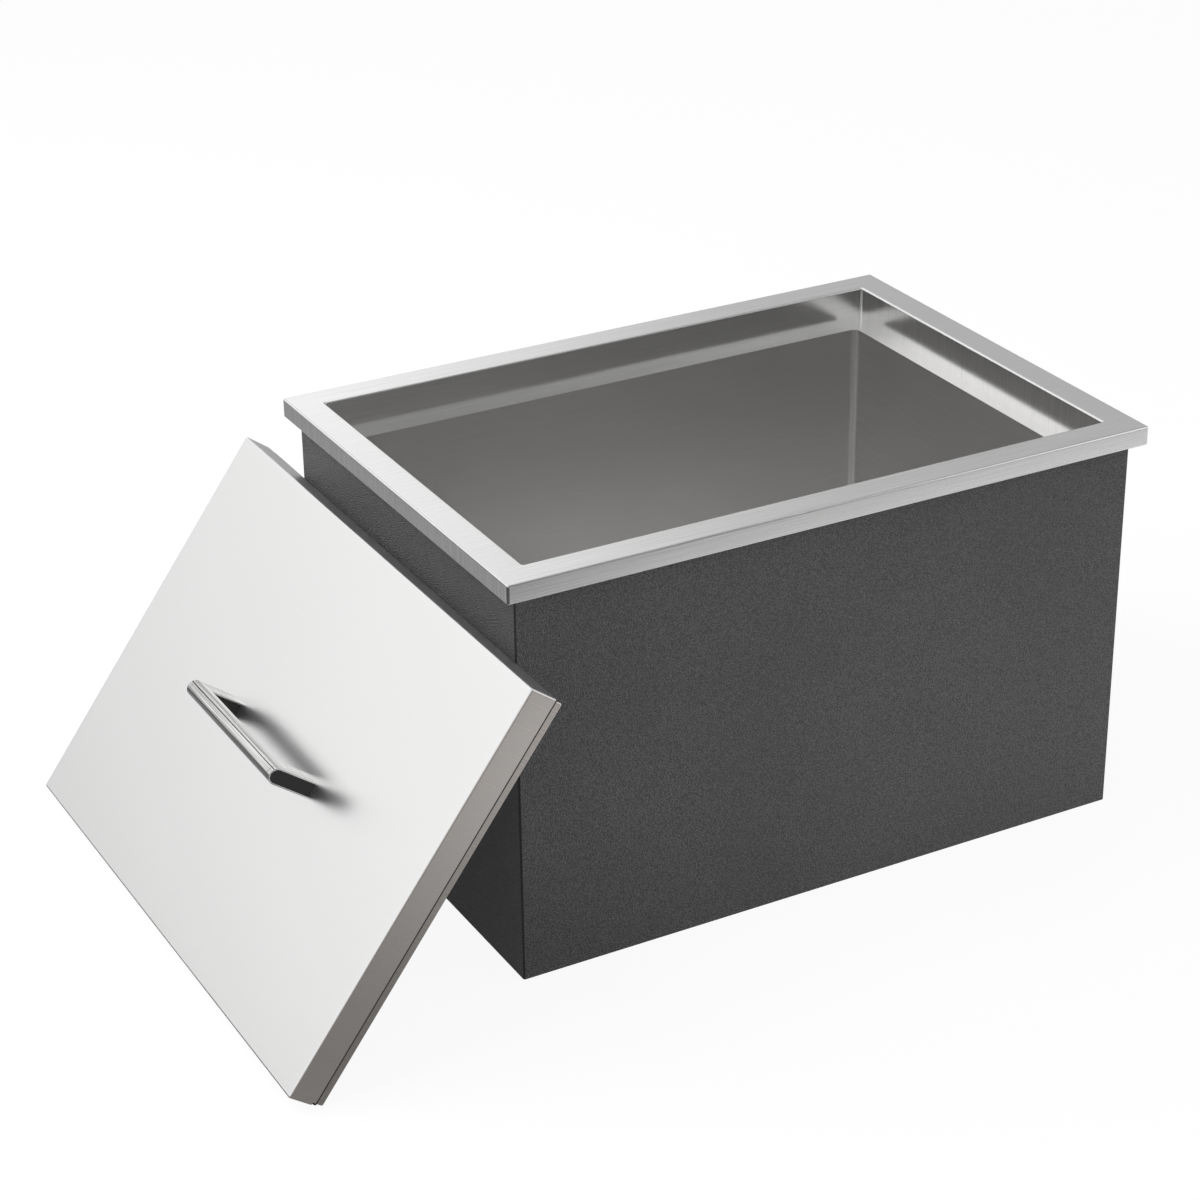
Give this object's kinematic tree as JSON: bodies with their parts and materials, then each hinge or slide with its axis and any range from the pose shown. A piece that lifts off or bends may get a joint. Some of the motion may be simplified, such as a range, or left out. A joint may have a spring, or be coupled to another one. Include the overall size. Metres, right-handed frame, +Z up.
{
  "type": "drop-in ice bin",
  "caption": "Insulated drop-in ice bin: steel rim that hangs in a worktop, deep tub with drain and stopper, and a lift-off lid with a bridge handle leaning on its end wall.",
  "frame": {"origin": "middle of the base at ground level, which is the centre of the drain spigot's open end", "axes": "+X along the bin's length, away from the leaning lid; +Y across it, away from the long wall shown in the picture; +Z up out of the opening"},
  "size_m": [0.7003, 0.457, 0.305],
  "materials": {
    "brushed_steel": "brushed along the length",
    "tub_steel": "fine satin",
    "shell_coat": "dark grey, fine pebbled powder coat",
    "handle_steel": "fine brushed, nearly polished",
    "drain_steel": "turned",
    "black_plastic": "fine satin",
    "black_rubber": "matt",
    "foam": "rigid closed-cell foam",
    "rivet_metal": "plain",
    "screw_steel": "zinc plated"
  },
  "bodies": {
    "bin": {"rim_frame": "brushed_steel", "liner": "tub_steel", "outer_shell": "shell_coat", "back_rivets": "rivet_metal", "insulation": "foam", "base_pan": "shell_coat", "port_plugs": "black_plastic", "drain_body": "drain_steel", "drain_top_washer": "black_rubber", "drain_bottom_washer": "black_rubber", "drain_locknut": "black_plastic", "drain_sleeve": "black_plastic"},
    "lid": {"lid_skin": "brushed_steel", "lid_tray": "tub_steel", "lid_seal": "black_rubber", "lid_foam": "foam", "handle_cover": "handle_steel", "handle_core": "black_plastic", "handle_screws": "screw_steel", "handle_washers": "screw_steel"},
    "stopper": {"drain_stopper": "black_rubber", "stopper_ring": "drain_steel"}
  },
  "joints": [
    {"name": "lid_lift", "type": "slide", "parent": "bin", "child": "lid", "axis": [-0.807, 0, 0.5906], "range_m": [0, 0.2]},
    {"name": "stopper_lift", "type": "slide", "parent": "bin", "child": "stopper", "axis": [0, 0, 1], "range_m": [0, 0.3]}
  ]
}
